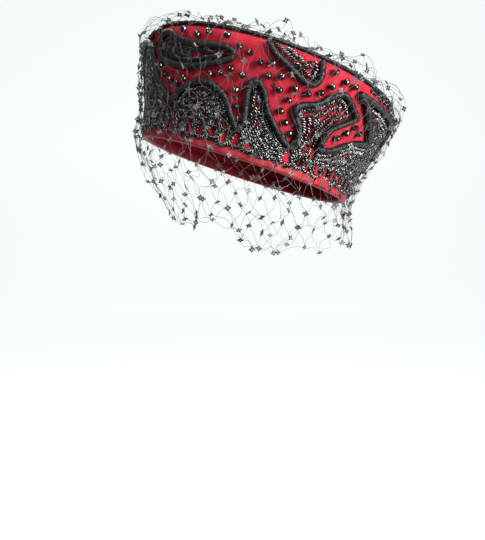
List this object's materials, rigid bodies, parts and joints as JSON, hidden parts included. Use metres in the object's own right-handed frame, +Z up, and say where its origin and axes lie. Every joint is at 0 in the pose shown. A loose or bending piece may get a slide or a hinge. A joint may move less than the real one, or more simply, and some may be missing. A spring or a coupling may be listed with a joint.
{
  "type": "pillbox hat",
  "caption": "Red felt pillbox hat with a flared oval crown, corded and beaded scroll trim, a satin-bound rim and a knotted net veil; it sits on a head.",
  "frame": {"origin": "centre of the rim opening, where the head enters from below", "axes": "+Z up, -Y the front of the hat as it is worn, +X to the viewer's right; the hat is tilted as worn, its top leaning to +X and slightly to -Y"},
  "size_m": [0.2299, 0.2492, 0.1952],
  "materials": {
    "felt": "matte wool felt",
    "satin": "satin ribbon",
    "rouleau": "matte crepe over cord",
    "bead": "gloss bugle and seed beads",
    "jet": "polished jet glass",
    "net": "open net with knots"
  },
  "bodies": {
    "root": {"beadwork_arch_back": "bead", "beadwork_arch_front": "bead", "beadwork_flank_back": "bead", "beadwork_flank_front": "bead", "beadwork_leaf_back": "bead", "beadwork_leaf_front": "bead", "beadwork_peak_back": "bead", "beadwork_peak_front": "bead", "beadwork_shield_back": "bead", "beadwork_shield_front": "bead", "beadwork_side_back": "bead", "beadwork_side_front": "bead", "beadwork_vee_back": "bead", "beadwork_vee_front": "bead", "binding_tab": "satin", "edge_cord_back": "rouleau", "edge_cord_front": "rouleau", "felt_body": "felt", "jets_back_1": "jet", "jets_back_2": "jet", "jets_back_3": "jet", "jets_back_4": "jet", "jets_front_1": "jet", "jets_front_2": "jet", "jets_front_3": "jet", "jets_front_4": "jet", "rim_binding": "satin", "rouleau_arch_back": "rouleau", "rouleau_arch_front": "rouleau", "rouleau_flank_back": "rouleau", "rouleau_flank_front": "rouleau", "rouleau_leaf_back": "rouleau", "rouleau_leaf_front": "rouleau", "rouleau_peak_back": "rouleau", "rouleau_peak_front": "rouleau", "rouleau_shield_back": "rouleau", "rouleau_shield_front": "rouleau", "rouleau_side_back": "rouleau", "rouleau_side_front": "rouleau", "rouleau_vee_back": "rouleau", "rouleau_vee_front": "rouleau", "tip_beadwork_back": "bead", "tip_beadwork_front": "bead", "tip_jets_1": "jet", "tip_jets_2": "jet", "tip_rouleau_back": "rouleau", "tip_rouleau_front": "rouleau", "veil": "net"}
  },
  "joints": []
}
